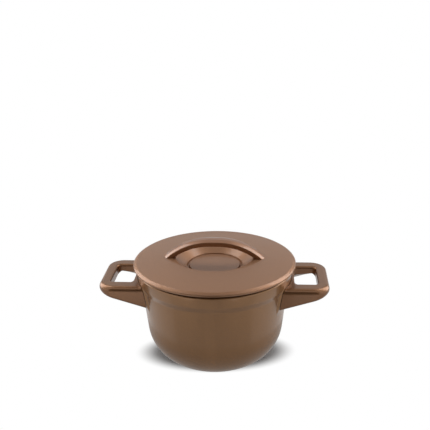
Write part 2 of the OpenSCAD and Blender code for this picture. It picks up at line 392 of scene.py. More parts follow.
class Wiring:
    """Places and links the nodes of one shader tree."""

    def __init__(self, tree: bpy.types.NodeTree) -> None:
        """Starts on a tree."""
        self.tree = tree

    def node(self, kind: str, **settings: Any) -> bpy.types.Node:
        """Adds a node.

        Args:
            kind: Type of the node.
            settings: Values for its properties.

        Returns:
            The new node.
        """
        made = self.tree.nodes.new(kind)
        for key, value in settings.items():
            setattr(made, key, value)
        return made

    def feed(self, target: bpy.types.NodeSocket, source: Any) -> None:
        """Links a socket to another, or sets its value.

        Args:
            target: Input socket.
            source: Output socket, or a plain value.
        """
        if isinstance(source, bpy.types.NodeSocket):
            self.tree.links.new(source, target)
        else:
            target.default_value = source

    def math(self, operation: str, first: Any, second: Any = 0.0) -> bpy.types.NodeSocket:
        """Works out a value from two others.

        Args:
            operation: Name of the operation.
            first: Socket or number.
            second: Socket or number.

        Returns:
            The socket with the result.
        """
        made = self.node("ShaderNodeMath", operation=operation)
        self.feed(made.inputs[0], first)
        self.feed(made.inputs[1], second)
        return made.outputs[0]

    def span(self, value: Any, low: Any, high: Any, to_low: Any, to_high: Any) -> bpy.types.NodeSocket:
        """Maps a value from one range to another, clamped.

        Args:
            value: Socket with the value.
            low: Start of its range.
            high: End of its range.
            to_low: Result at the start.
            to_high: Result at the end.

        Returns:
            The socket with the result.
        """
        made = self.node("ShaderNodeMapRange", clamp=True)
        for name, source in zip(
            ("Value", "From Min", "From Max", "To Min", "To Max"), (value, low, high, to_low, to_high)
        ):
            self.feed(made.inputs[name], source)
        return made.outputs["Result"]

    def blend(self, share: Any, first: Any, second: Any) -> bpy.types.NodeSocket:
        """Mixes two colours.

        Args:
            share: Socket or number from 0 for the first to 1 for the second.
            first: First colour, as a socket or a value.
            second: Second colour, as a socket or a value.

        Returns:
            The socket with the mixed colour.
        """
        made = self.node("ShaderNodeMix", data_type="RGBA")
        self.feed(made.inputs[0], share)
        self.feed(made.inputs[6], first)
        self.feed(made.inputs[7], second)
        return made.outputs[2]

    def noise(self, vector: Any, scale: Any, detail: float) -> bpy.types.NodeSocket:
        """Adds a noise texture.

        Args:
            vector: Socket with the place.
            scale: Size of the pattern, in waves per metre.
            detail: Number of finer layers.

        Returns:
            The socket with the noise value.
        """
        made = self.node("ShaderNodeTexNoise")
        self.feed(made.inputs["Vector"], vector)
        self.feed(made.inputs["Scale"], scale)
        made.inputs["Detail"].default_value = detail
        return made.outputs["Fac"]

    def white(self, kind: str, strength: float = 1.0) -> bpy.types.NodeSocket:
        """Adds a white light source to the tree.

        Args:
            kind: Type of the node, an emission or a background.
            strength: Its strength.

        Returns:
            The socket with its shader.
        """
        made = self.node(kind)
        made.inputs["Color"].default_value = WHITE
        made.inputs["Strength"].default_value = strength
        return made.outputs[0]

    def choose(self, share: Any, first: Any, second: Any) -> bpy.types.NodeSocket:
        """Mixes two shaders.

        Args:
            share: Socket from 0 for the first to 1 for the second.
            first: Socket with the first shader.
            second: Socket with the second shader.

        Returns:
            The socket with the mixed shader.
        """
        made = self.node("ShaderNodeMixShader")
        for target, source in zip(made.inputs, (share, first, second)):
            self.feed(target, source)
        return made.outputs[0]

    def group(self, tree: bpy.types.NodeTree, **values: Any) -> bpy.types.Node:
        """Places a shared group.

        Args:
            tree: The group.
            values: Values or sockets for its inputs, by name.

        Returns:
            The group's node.
        """
        made = self.node("ShaderNodeGroup", node_tree=tree)
        for name, value in values.items():
            self.feed(made.inputs[name], value)
        return made


def colour4(colour: Colour, tone: float = 1.0) -> tuple[float, ...]:
    """Gives a colour, made lighter or darker by a tone, with full opacity."""
    return (*(value * tone for value in colour), 1.0)


def new_group(name: str, inputs: dict[str, str], outputs: dict[str, str]) -> tuple[Wiring, Any, Any]:
    """Starts a shader node group.

    Args:
        name: Name of the group.
        inputs: Socket types of its inputs, by name.
        outputs: Socket types of its outputs, by name.

    Returns:
        Its wiring, its input node and its output node.
    """
    tree = bpy.data.node_groups.new(name, "ShaderNodeTree")
    for label, kind in inputs.items():
        tree.interface.new_socket(label, in_out="INPUT", socket_type=kind)
    for label, kind in outputs.items():
        tree.interface.new_socket(label, in_out="OUTPUT", socket_type=kind)
    wiring = Wiring(tree)
    return wiring, wiring.node("NodeGroupInput").outputs, wiring.node("NodeGroupOutput").inputs


class Effects:
    """Shader node groups that several finishes share, each built once."""

    VALUE = "NodeSocketFloat"
    COLOUR = "NodeSocketColor"
    VECTOR = "NodeSocketVector"

    def __init__(self) -> None:
        """Builds the groups."""
        self.flake = self._flake()
        self.ripple = self._ripple()
        self.handling = self._handling()
        self.edges = self._edges()
        self.speckle = self._speckle()
        self.brushing = self._brushing()

    def _flake(self) -> bpy.types.NodeTree:
        """Metal flake in a coating: grains that are a little lighter or darker, and a few painted glints,
        lighter grains that stand in for flakes catching the light.
        """
        wiring, given, result = new_group(
            "metal_flake",
            {"Vector": self.VECTOR, "Scale": self.VALUE, "Contrast": self.VALUE,
             "Base": self.COLOUR, "Glint": self.COLOUR, "Glints": self.VALUE},
            {"Color": self.COLOUR},
        )
        grains = wiring.node("ShaderNodeTexVoronoi")
        wiring.feed(grains.inputs["Vector"], given["Vector"])
        wiring.feed(grains.inputs["Scale"], given["Scale"])
        grain = wiring.node("ShaderNodeSeparateColor")
        wiring.feed(grain.inputs[0], grains.outputs["Color"])
        low = wiring.math("SUBTRACT", 1.0, given["Contrast"])
        high = wiring.math("ADD", 1.0, given["Contrast"])
        tone = wiring.span(grain.outputs[0], 0.0, 1.0, low, high)
        toned = wiring.node("ShaderNodeVectorMath", operation="SCALE")
        wiring.feed(toned.inputs[0], given["Base"])
        wiring.feed(toned.inputs["Scale"], tone)
        # Painted glints: a few grains take a lighter colour
        threshold = wiring.math("SUBTRACT", 1.0, given["Glints"])
        glint = wiring.math("GREATER_THAN", grain.outputs[1], threshold)
        wiring.feed(result["Color"], wiring.blend(glint, toned.outputs[0], given["Glint"]))
        return wiring.tree

    def _ripple(self) -> bpy.types.NodeTree:
        """Slight ripple of a sprayed coating over the slow waves of a casting."""
        wiring, given, result = new_group(
            "coat_ripple",
            {"Vector": self.VECTOR, "Ripple": self.VALUE, "Waves": self.VALUE, "Share": self.VALUE},
            {"Height": self.VALUE},
        )
        ripple = wiring.noise(given["Vector"], given["Ripple"], 2.0)
        waves = wiring.noise(given["Vector"], given["Waves"], 0.0)
        scaled = wiring.math("MULTIPLY", ripple, given["Share"])
        wiring.feed(result["Height"], wiring.math("ADD", waves, scaled))
        return wiring.tree

    def _handling(self) -> bpy.types.NodeTree:
        """Uneven gloss, as wiping and handling leave it."""
        wiring, given, result = new_group(
            "handling",
            {"Vector": self.VECTOR, "Scale": self.VALUE, "Low": self.VALUE, "High": self.VALUE},
            {"Roughness": self.VALUE},
        )
        cloudy = wiring.noise(given["Vector"], given["Scale"], 4.0)
        wiring.feed(result["Roughness"], wiring.span(cloudy, 0.3, 0.7, given["Low"], given["High"]))
        return wiring.tree

    def _edges(self) -> bpy.types.NodeTree:
        """Masks of the outer edges, where a coating is thin, and of the recesses, which take painted shade.
        """
        wiring, _, result = new_group("edges", {}, {"Edge": self.VALUE, "Recess": self.VALUE})
        bulge = wiring.node("ShaderNodeNewGeometry").outputs["Pointiness"]
        wiring.feed(result["Edge"], wiring.span(bulge, 0.505, 0.57, 0.0, 1.0))
        wiring.feed(result["Recess"], wiring.span(bulge, 0.495, 0.44, 0.0, 1.0))
        return wiring.tree

    def _speckle(self) -> bpy.types.NodeTree:
        """Fine pale specks in a dark lining."""
        wiring, given, result = new_group(
            "speckle",
            {"Vector": self.VECTOR, "Scale": self.VALUE, "Amount": self.VALUE},
            {"Mask": self.VALUE},
        )
        grains = wiring.node("ShaderNodeTexVoronoi")
        wiring.feed(grains.inputs["Vector"], given["Vector"])
        wiring.feed(grains.inputs["Scale"], given["Scale"])
        near = wiring.math("LESS_THAN", grains.outputs["Distance"], given["Amount"])
        wiring.feed(result["Mask"], near)
        return wiring.tree

    def _brushing(self) -> bpy.types.NodeTree:
        """Fine lines that run one way, left by turning or rolling."""
        wiring, given, result = new_group(
            "brushing",
            {"Vector": self.VECTOR, "Stretch": self.VECTOR, "Low": self.VALUE, "High": self.VALUE},
            {"Roughness": self.VALUE, "Height": self.VALUE},
        )
        stretched = wiring.node("ShaderNodeVectorMath", operation="MULTIPLY")
        wiring.feed(stretched.inputs[0], given["Vector"])
        wiring.feed(stretched.inputs[1], given["Stretch"])
        lines = wiring.noise(stretched.outputs[0], 1.0, 3.0)
        wiring.feed(result["Roughness"], wiring.span(lines, 0.3, 0.7, given["Low"], given["High"]))
        wiring.feed(result["Height"], lines)
        return wiring.tree


def new_material(name: str) -> tuple[bpy.types.Material, Wiring, bpy.types.Node, bpy.types.NodeSocket]:
    """Starts a material.

    Args:
        name: Name of the material.

    Returns:
        The material, its wiring, its Principled shader and a socket with the place on the object.
    """
    made = bpy.data.materials.new(name)
    made.use_nodes = True
    wiring = Wiring(made.node_tree)
    shader = made.node_tree.nodes["Principled BSDF"]
    place = wiring.node("ShaderNodeTexCoord").outputs["Object"]
    return made, wiring, shader, place


def roughen(wiring: Wiring, shader: bpy.types.Node, height: bpy.types.NodeSocket, depth: float) -> None:
    """Gives a shader a bumped normal.

    Args:
        wiring: Wiring of the material.
        shader: Its Principled shader.
        height: Socket with the height pattern.
        depth: Depth of the pattern, in millimetres.
    """
    bump = wiring.node("ShaderNodeBump")
    bump.inputs["Strength"].default_value = 1.0
    bump.inputs["Distance"].default_value = depth * MM
    wiring.feed(bump.inputs["Height"], height)
    wiring.feed(shader.inputs["Normal"], bump.outputs["Normal"])


@dataclass(frozen=True)
class BronzeCoating:
    """Satin metallic bronze coating with a clear top layer, sprayed on a casting."""

    name: str
    colour: Colour
    # Tone of the painted glints on a few flakes
    glint: float = 1.4
    thin: float = 1.2
    # Tone of the painted shade that darkens recesses
    recess_shade: float = 0.42
    metallic: float = 0.6
    gloss: Range = (0.38, 0.44)
    coat: float = 1.0
    coat_roughness: float = 0.13
    flake_scale: float = 7000.0
    flake_contrast: float = 0.10
    glint_share: float = 0.05
    # Share of the painted shade in recesses
    recess_shade_share: float = 0.6
    wear_share: float = 0.5
    ripple_depth: float = 0.004

    def build(self, effects: Effects) -> bpy.types.Material:
        """Makes the material.

        Args:
            effects: Shared node groups.

        Returns:
            The material.
        """
        made, wiring, shader, place = new_material(self.name)
        flake = wiring.group(
            effects.flake, Vector=place, Scale=self.flake_scale, Contrast=self.flake_contrast,
            Base=colour4(self.colour), Glint=colour4(self.colour, self.glint), Glints=self.glint_share,
        )
        edges = wiring.group(effects.edges)
        # Painted shade: recesses darken towards a darker copy of the colour
        recess_shade = wiring.blend(
            wiring.math("MULTIPLY", edges.outputs["Recess"], self.recess_shade_share), flake.outputs["Color"],
            colour4(self.colour, self.recess_shade),
        )
        worn = wiring.blend(
            wiring.math("MULTIPLY", edges.outputs["Edge"], self.wear_share), recess_shade,
            colour4(self.colour, self.thin),
        )
        gloss = wiring.group(
            effects.handling, Vector=place, Scale=34.0, Low=self.gloss[0], High=self.gloss[1]
        )
        ripple = wiring.group(effects.ripple, Vector=place, Ripple=420.0, Waves=70.0, Share=0.12)
        wiring.feed(shader.inputs["Base Color"], worn)
        wiring.feed(shader.inputs["Roughness"], gloss.outputs["Roughness"])
        shader.inputs["Metallic"].default_value = self.metallic
        shader.inputs["Coat Weight"].default_value = self.coat
        shader.inputs["Coat Roughness"].default_value = self.coat_roughness
        roughen(wiring, shader, ripple.outputs["Height"], self.ripple_depth)
        return made


@dataclass(frozen=True)
class DarkLining:
    """Dark satin ceramic lining with fine pale specks."""

    name: str
    colour: Colour = (0.045, 0.04, 0.037)
    speck: Colour = (0.17, 0.155, 0.14)
    ripple_depth: float = 0.02

    def build(self, effects: Effects) -> bpy.types.Material:
        """Makes the material.

        Args:
            effects: Shared node groups.

        Returns:
            The material.
        """
        made, wiring, shader, place = new_material(self.name)
        specks = wiring.group(effects.speckle, Vector=place, Scale=620.0, Amount=0.16)
        gloss = wiring.group(effects.handling, Vector=place, Scale=40.0, Low=0.34, High=0.44)
        ripple = wiring.group(effects.ripple, Vector=place, Ripple=500.0, Waves=90.0, Share=0.3)
        colour = wiring.blend(specks.outputs["Mask"], colour4(self.colour), colour4(self.speck))
        wiring.feed(shader.inputs["Base Color"], colour)
        wiring.feed(shader.inputs["Roughness"], gloss.outputs["Roughness"])
        roughen(wiring, shader, ripple.outputs["Height"], self.ripple_depth)
        return made


@dataclass(frozen=True)
class PlainSteel:
    """Stainless steel with fine lines from turning or stamping, and painted shade in its recesses."""

    name: str
    colour: Colour
    stretch: Place
    gloss: Range
    # Tone of the painted shade in recesses
    recess_shade_tone: float = 0.5
    line_depth: float = 0.004

    def build(self, effects: Effects) -> bpy.types.Material:
        """Makes the material.

        Args:
            effects: Shared node groups.

        Returns:
            The material.
        """
        made, wiring, shader, place = new_material(self.name)
        lines = wiring.group(
            effects.brushing, Vector=place, Stretch=self.stretch, Low=self.gloss[0], High=self.gloss[1]
        )
        edges = wiring.group(effects.edges)
        # Painted shade: recesses darken towards a darker copy of the steel's colour
        dark = colour4(self.colour, self.recess_shade_tone)
        shaded = wiring.blend(edges.outputs["Recess"], colour4(self.colour), dark)
        wiring.feed(shader.inputs["Base Color"], shaded)
        wiring.feed(shader.inputs["Roughness"], lines.outputs["Roughness"])
        shader.inputs["Metallic"].default_value = 1.0
        roughen(wiring, shader, lines.outputs["Height"], self.line_depth)
        return made


def dress(
    piece: bpy.types.Object, materials: Sequence[bpy.types.Material], body: Body, node: str
) -> None:
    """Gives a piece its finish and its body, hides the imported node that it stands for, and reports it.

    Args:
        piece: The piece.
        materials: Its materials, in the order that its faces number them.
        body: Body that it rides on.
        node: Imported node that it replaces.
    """
    faces = piece.data.polygons
    finishes = [face.material_index for face in faces]
    piece.data.materials.clear()
    for material in materials:
        piece.data.materials.append(material)
    faces.foreach_set("material_index", finishes)
    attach(piece, body.value)
    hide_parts(node)
    LOG.info(
        "%s: %d faces, %d of them lined, on %s, for %s",
        piece.name, len(faces), sum(finishes), body.value, node,
    )


# Sub-assemblies


@dataclass(frozen=True)
class Pot:
    """The cast pot: a round-bottomed wall, a collar under the lid and a seat for each handle."""

    height: float = 105.5
    wall_r: float = 78.0
    wall_draft: float = 6.5
    wall_t: float = 4.5
    floor_t: float = 5.5
    base_r: float = 40.0
    corner_r: float = 43.0
    collar_h: float = 14.0
    collar_step: float = 2.2
    collar_slope_h: float = 2.6
    collar_flare: float = 2.1
    base_edge_r: float = 3.0
    collar_edge_r: float = 8.0
    collar_run: float = 3.2
    rim_edge_r: float = 1.2
    rim_inner_r: float = 1.2
    shoulder_w: float = 3.4
    shoulder_h: float = 2.2
    bead_foot_r: float = 0.7
    bead_edge_r: float = 0.9
    bead_lean: float = 0.6
    coated_h: float = 4.0
    floor_edge_r: float = 6.0
    corner_steps: int = 24
    wall_row: float = 5.0
    wall_column: float = 2.0
    seat_rows: Range = (0.35, 0.7)
    seat_columns: Range = (0.2, 0.6)
    seat_near: Range = (1.4, 6.0)
    seat_fade: Range = (34.0, 50.0)
    seat_margin: float = 3.0

    @property
    def collar_z(self) -> float:
        """Height of the collar's lower edge."""
        return self.height - self.collar_h

    @property
    def collar_r(self) -> float:
        """Radius of the collar's lower edge."""
        return self.wall_r + self.collar_step

    @property
    def rim_r(self) -> float:
        """Outer radius of the rim."""
        return self.collar_r + self.collar_flare

    @property
    def wall_top_z(self) -> float:
        """Height at which the wall runs into the collar's slope."""
        return self.collar_z - self.collar_slope_h

    def wall_at(self, height: float) -> float:
        """Outer radius of the wall at a height."""
        return self.wall_r + (height - self.wall_top_z) * math.tan(math.radians(self.wall_draft))

    def inner_at(self, height: float) -> float:
        """Inner radius of the wall at a height."""
        return self.wall_at(height) - self.wall_t / math.cos(math.radians(self.wall_draft))

    def corner_centre(self) -> tuple[float, float]:
        """Centre of the round bottom corner, which touches the wall and runs into the base's edge."""
        lean = math.tan(math.radians(self.wall_draft))
        foot_r = self.wall_at(0) - self.corner_r / math.cos(math.radians(self.wall_draft))
        gap = self.base_r - foot_r
        square = 1 + lean**2
        root = math.sqrt((lean * gap) ** 2 - square * (gap**2 - self.corner_r**2))
        height = (lean * gap + root) / square
        return foot_r + height * lean, height

    def outside(self) -> list[Vector]:
        """Profile of the outside, from the middle of the base to the rim's inner edge."""
        centre = self.corner_centre()
        foot = math.degrees(math.asin(-centre[1] / self.corner_r))
        corner = arc(centre, self.corner_r, foot, -self.wall_draft, self.corner_steps)
        rim_in = self.inner_at(self.height)
        blend_z = self.wall_top_z - self.collar_run
        shoulder_r = mix(self.rim_r, self.collar_r, self.shoulder_h / self.collar_h)
        bead_r = self.rim_r - self.shoulder_w
        coated_z = self.height - self.coated_h
        return soften(
            [(0, 0, 0), (self.base_r, 0, self.base_edge_r)]
            + sharp(corner[2:])
            + [(self.wall_at(blend_z), blend_z, self.collar_edge_r),
               (self.collar_r, self.collar_z, self.collar_edge_r),
               (shoulder_r, self.height - self.shoulder_h, self.rim_edge_r),
               (bead_r, self.height - self.shoulder_h, self.bead_foot_r),
               (bead_r - self.bead_lean, self.height, self.bead_edge_r),
               (rim_in, self.height, self.rim_inner_r),
               (self.inner_at(coated_z), coated_z, 0)]
        )

    def inside(self) -> list[Vector]:
        """Profile of the inside, from below the rim to the middle of the floor."""
        centre = self.corner_centre()
        inner_r = self.corner_r - self.wall_t
        foot = math.degrees(math.asin((self.floor_t - centre[1]) / inner_r))
        corner = arc(centre, inner_r, -self.wall_draft, foot, self.corner_steps)
        floor = [(corner[-1].x, self.floor_t, self.floor_edge_r), (0, self.floor_t, 0)]
        return soften(sharp(corner[:-2]) + floor)

    def columns(self, handle: "LoopHandle") -> list[float]:
        """Angles of the columns, closer together at the sides of the handles' seats.

        Args:
            handle: Handle whose seats the pot has.

        Returns:
            The angles in order, in radians.
        """
        edge = math.degrees(math.asin(handle.seat_half / self.wall_r))
        angles = set()
        angle = -90.0
        while angle < 89.9:
            angles |= {angle, angle + 180.0}
            away = abs(abs(angle) - edge)
            steps = [step for step, near in zip(self.seat_columns, self.seat_near) if away < near]
            angle += steps[0] if steps else self.wall_column
        return [math.radians(value) for value in sorted(angles)]

    def seated(self, handle: "LoopHandle") -> Shape:
        """Gives the shape of the outside with a seat for each handle.

        Args:
            handle: Handle whose seats the pot has.

        Returns:
            A function from radius, height and angle to a point.
        """

        def place(radius: float, height: float, angle: float) -> Vector:
            """Gives a point of the outside, raised where a seat is."""
            side = math.copysign(1, math.cos(angle))
            local = math.asin(math.sin(angle))
            y = self.wall_r * math.sin(local)
            x = math.sqrt(max(0.0, radius**2 - y**2))
            rise = max(0.0, handle.seat_r(height) - radius)
            grown = radius + rise * handle.seat_share(x, y, height)
            straight = math.asin(min(1.0, max(-1.0, y / grown)))
            local = mix(straight, local, smooth_step(*self.seat_fade, abs(math.degrees(local))))
            return Vector((side * grown * math.cos(local), grown * math.sin(local), height))

        return place

    def build(self, handle: "LoopHandle") -> bpy.types.Object:
        """Makes the casting.

        Args:
            handle: Handle whose seats the pot has.

        Returns:
            The piece, with the coating as its first material and the lining as its second.
        """
        low, high = handle.seat_foot_z - self.seat_margin, handle.top_z + self.seat_margin

        def longest(point: Vector) -> float:
            """Gives the longest step allowed, which is short beside the seats' edges."""
            if not low < point.y < high:
                return self.wall_row
            near_edge = point.y > handle.top_z - 2 or point.y < low + 2 * self.seat_margin
            return self.seat_rows[0] if near_edge else self.seat_rows[1]

        outside = refine(self.outside(), longest)
        inside = refine(self.inside(), lambda p: self.wall_row * 2)
        lining_from = len(outside) - 1
        seats = self.seated(handle)
        skin = Skin()
        skin.turn(
            outside + inside,
            self.columns(handle),
            lambda radius, height, angle: (
                seats(radius, height, angle) if low < height < high and radius > self.inner_at(height) + 1
                else on_circle(radius, height, angle)
            ),
            lambda step: int(step >= lining_from),
        )
        return skin.piece("pot_casting")


@dataclass(frozen=True)
class Zone:
    """What a station of a handle's loop belongs to, as shares from 0 to 1."""

    root: float = 0.0
    thin: float = 0.0
    hollow: float = 0.0
    bar: float = 0.0


@dataclass(frozen=True)
class LoopHandle:
    """A cast loop handle: two legs, an outer bar and a bar against the pot round a finger window."""

    pot: Pot
    out: float = 38.8
    width: float = 76.0
    lift: float = 1.0
    slope: float = 17.0
    nose_r: float = 4.65
    corner_r: float = 17.0
    edge_r: float = 5.5
    leg_w: float = 16.5
    bar_w: float = 11.5
    root_bar_t: float = 3.2
    window_corner_r: float = 4.2
    window_edge_r: float = 2.7
    relief_drop: float = 9.25
    relief_r: float = 31.0
    relief_slope: float = 4.5
    relief_share: float = 0.8
    under_edge_r: float = 1.6
    foot_edge_r: float = 3.0
    relief_edge_r: float = 2.5
    root_edge_r: float = 0.8
    root_depth: float = 8.0
    seam: float = 0.4
    seat_lip: float = 1.3
    seat_proud: float = 1.5
    seat_top_proud: float = 0.7
    seat_edge: float = 0.6
    seat_corner_r: float = 5.0
    round_steps: int = 8
    root_steps: int = 24
    root_round_steps: int = 8
    leg_steps: int = 18
    corner_steps: int = 14
    bar_steps: int = 8
    root_run: int = 4
    screw_pitch: float = 24.0
    screw_drop: float = 7.5

    @property
    def reach(self) -> float:
        """X of the outer end."""
        return self.pot.collar_r + self.out

    @property
    def top_z(self) -> float:
        """Height of the flat top."""
        return self.pot.collar_z + self.lift

    @property
    def half(self) -> float:
        """Half the width."""
        return self.width / 2

    @property
    def window_x0(self) -> float:
        """X of the window's side next to the pot."""
        return self.pot.collar_r + self.root_bar_t

    @property
    def window_x1(self) -> float:
        """X of the window's side next to the outer bar."""
        return self.reach - self.bar_w

    @property
    def window_half(self) -> float:
        """Half the window's width."""
        return self.half - self.leg_w

    @property
    def seat_half(self) -> float:
        """Half the width of the pot's seat."""
        return self.half + self.seat_lip

    def underside_at(self, x: float) -> float:
        """Height of the sloping underside at an X."""
        lean = math.radians(self.slope)
        touch_x = self.reach - self.nose_r * (1 - math.sin(lean))
        touch_z = self.top_z - self.nose_r * (1 + math.cos(lean))
        return touch_z - (touch_x - x) * math.tan(lean)

    @property
    def seat_foot_z(self) -> float:
        """Height at which the underside meets the wall beside the legs."""
        return self.underside_at(math.sqrt(self.pot.wall_r**2 - self.half**2))

    def seat_r(self, height: float) -> float:
        """Radius of the seat's face at a height."""
        foot_r = self.pot.wall_at(self.seat_foot_z) + self.seat_proud
        top_r = self.pot.collar_r + self.seat_top_proud
        return mix(foot_r, top_r, (height - self.seat_foot_z) / (self.pot.collar_z - self.seat_foot_z))

    def seat_share(self, x: float, y: float, height: float) -> float:
        """Tells how far the seat rises from the wall at a place.

        Args:
            x: Distance from the middle along X.
            y: Place along Y.
            height: Height of the place.

        Returns:
            1 on the seat's face, 0 on the wall and the rounded step between.
        """
        round_r = self.seat_corner_r
        over_y = abs(y) - (self.seat_half - round_r)
        over_z = height - (self.top_z + self.seat_lip - round_r)
        outside = math.hypot(max(over_y, 0), max(over_z, 0)) + min(max(over_y, over_z), 0) - round_r
        below = self.underside_at(x) - self.seat_lip - height
        return 1 - smooth_step(-self.seat_edge, self.seat_edge, max(outside, below))

    def outer_half(self, root_r: float) -> list[Vector]:
        """Lays out the outer outline on the -Y side, seen from above.

        Args:
            root_r: Radius of the root's hollow face at the height of the outline.

        Returns:
            Points from the middle of the root to the middle of the outer bar.
        """
        angle = math.asin(self.half / root_r)
        half_turn = (math.pi / 2 - angle) / 2
        setback = self.root_edge_r / math.tan(half_turn)
        root_end = math.degrees(angle - setback / root_r)
        corner = Vector((root_r * math.cos(angle), -self.half))
        leg_start = corner + Vector((setback, 0))
        corner_x = self.reach - self.corner_r
        straight = self.half - self.corner_r
        points = arc((0, 0), root_r, 0, -root_end, self.root_steps)
        points += bend(points[-1], corner, leg_start, math.sin(half_turn), self.root_round_steps)[1:]
        leg_end = Vector((corner_x, -self.half))
        points += [leg_start.lerp(leg_end, share) for share in spread(0, 1, self.leg_steps)[1:]]
        points += arc((corner_x, -straight), self.corner_r, -90, 0, self.corner_steps)[1:]
        points += [Vector((self.reach, y)) for y in spread(-straight, 0, self.bar_steps)[1:]]
        return points

    def inner_half(self) -> list[Vector]:
        """Lays out the window's outline on the -Y side, with a point for each of the outer outline's."""
        straight = self.window_half - self.window_corner_r
        first_x = self.window_x0 + self.window_corner_r
        last_x = self.window_x1 - self.window_corner_r
        round_r = self.window_corner_r
        points = [Vector((self.window_x0, y)) for y in spread(0, -straight, self.root_steps)]
        points += arc((first_x, -straight), round_r, 180, 270, self.root_round_steps)[1:]
        points += [Vector((x, -self.window_half)) for x in spread(first_x, last_x, self.leg_steps)[1:]]
        points += arc((last_x, -straight), round_r, -90, 0, self.corner_steps)[1:]
        points += [Vector((self.window_x1, y)) for y in spread(-straight, 0, self.bar_steps)[1:]]
        return points

    def zones(self) -> list[Zone]:
        """Tells for each point of a half outline what it belongs to."""
        rise = [smooth_step(0, 1, share) for share in spread(0, 1, self.corner_steps)[1:]]
        return (
            [Zone(root=1, thin=1)] * (self.root_steps + 1)
            + [
                Zone(root=1, thin=1 - smooth_step(0, 1, share), hollow=smooth_step(0.2, 1, share))
                for share in spread(0, 1, self.root_round_steps)[1:]
            ]
            + [
                Zone(root=1 - smooth_step(0, self.root_run, step), hollow=1)
                for step in range(1, self.leg_steps + 1)
            ]
            + [Zone(hollow=1 - share, bar=share) for share in rise]
            + [Zone(bar=1)] * self.bar_steps
        )

    def corners(self) -> list[list[Vector]]:
        """Lays out the five edge lines of half the handle.

        Returns:
            For each station, its corners in order: top outer, top inner, bottom inner, relief, bottom outer.
        """
        top = self.outer_half(self.seat_r(self.top_z) - self.root_depth)
        foot = self.outer_half(self.seat_r(self.seat_foot_z) - self.root_depth)
        lean = math.tan(math.radians(self.relief_slope))
        axis_drop = math.sqrt(self.relief_r**2 - self.window_half**2)
        stations = []
        for out_top, out_foot, inner, zone in zip(top, foot, self.inner_half(), self.zones()):
            plain = 1 - zone.hollow
            relief_z = self.top_z - self.relief_drop + (inner.x - self.window_x0) * lean
            middle_x = mix(inner.x, out_foot.x, 0.4)
            fall = min(axis_drop, relief_z - self.underside_at(middle_x))
            hollow_y = math.sqrt(self.relief_r**2 - (axis_drop - fall) ** 2)
            share = mix(max(self.relief_share, (hollow_y - self.window_half) / self.leg_w), 0.5, plain)
            hollow = inner.lerp(out_foot, share)
            inner_z = mix(relief_z, self.underside_at(inner.x), plain)
            stations.append(
                [out_top.to_3d() + Vector((0, 0, self.top_z)),
                 inner.to_3d() + Vector((0, 0, self.top_z)),
                 inner.to_3d() + Vector((0, 0, inner_z)),
                 hollow.to_3d() + Vector((0, 0, self.underside_at(hollow.x))),
                 out_foot.to_3d() + Vector((0, 0, self.underside_at(out_foot.x)))]
            )
        return stations

    def rounds(self, zone: Zone) -> list[float]:
        """Gives the rounding of a station's five corners.

        Args:
            zone: What the station belongs to.

        Returns:
            The radii, in the order of the corners.
        """
        thin = self.root_edge_r
        return [
            mix(mix(self.edge_r, self.nose_r, zone.bar), thin, zone.root),
            mix(self.window_edge_r, thin, zone.thin),
            mix(self.under_edge_r, thin, zone.thin),
            self.relief_edge_r,
            mix(mix(self.foot_edge_r, self.nose_r, zone.bar), thin, zone.root),
        ]

    def section(self, stations: list[list[Vector]], number: int, radii: list[float]) -> list[Vector]:
        """Rounds one section of the handle.

        Args:
            stations: Corners of all sections, in order round the loop.
            number: Which section.
            radii: Rounding of its corners.

        Returns:
            The points round the section.
        """
        corners = stations[number]
        after, before = stations[(number + 1) % len(stations)], stations[number - 1]
        count = len(corners)
        rounds = []
        for spot, here in enumerate(corners):
            along = (after[spot] - before[spot]).normalized()
            ways = [(corners[(spot + step) % count] - here).normalized() for step in (-1, 1)]
            flat = [way - along * way.dot(along) for way in ways]
            half = flat[0].angle(flat[1]) / 2
            setback = radii[spot] / math.tan(half)
            rounds.append((ways, [setback / part.length for part in flat], math.sin(half)))
        points = []
        for spot, here in enumerate(corners):
            ways, setbacks, weight = rounds[spot]
            limited = []
            for step, way, setback in zip((-1, 1), ways, setbacks):
                other = (spot + step) % count
                room = (corners[other] - here).length
                wanted = setback + rounds[other][1][0 if step == 1 else 1]
                limited.append(here + way * setback * min(1.0, 0.98 * room / wanted))
            points += bend(limited[0], here, limited[1], weight, self.round_steps)
        return points

    def build(self, side: Side, screw: "SocketScrew") -> bpy.types.Object:
        """Makes the casting, with a sunk hole for each screw.

        Args:
            side: Side of the pot that it is on.
            screw: Screw that holds it.

        Returns:
            The piece.
        """
        half_loop = self.corners()
        half_zones = self.zones()
        flip = Matrix.Scale(-1, 3, Vector((0, 1, 0)))
        stations = half_loop + [[flip @ corner for corner in station] for station in half_loop[-2:0:-1]]
        zones = half_zones + half_zones[-2:0:-1]
        skin = Skin()
        rows = [
            skin.row(self.section(stations, number, self.rounds(zone))) for number, zone in enumerate(zones)
        ]
        for first, second in zip(rows, rows[1:] + rows[:1]):
            skin.join(first, second)
        turned = skin.moved([Matrix.Rotation(side.value, 4, "Z")])
        made = turned.piece(f"handle_{side.name.lower()}_casting")
        sinks = screw.sink().moved(self.screw_places(side)).piece("sinks")
        combine(made, [self.pot_side(), sinks], Operation.CUT)
        even_normals(made)
        return made

    def pot_side(self) -> bpy.types.Object:
        """Makes the solid that the root ends at: the seat's face, with room for the seam."""
        low, high = self.seat_foot_z - 20, self.top_z + 20
        low_r, high_r = self.seat_r(low) + self.seam, self.seat_r(high) + self.seam
        profile = [(0, low), (low_r, low), (high_r, high), (0, high)]
        skin = Skin()
        skin.turn([Vector(point) for point in profile], round_columns(360))
        return skin.piece("pot_side")

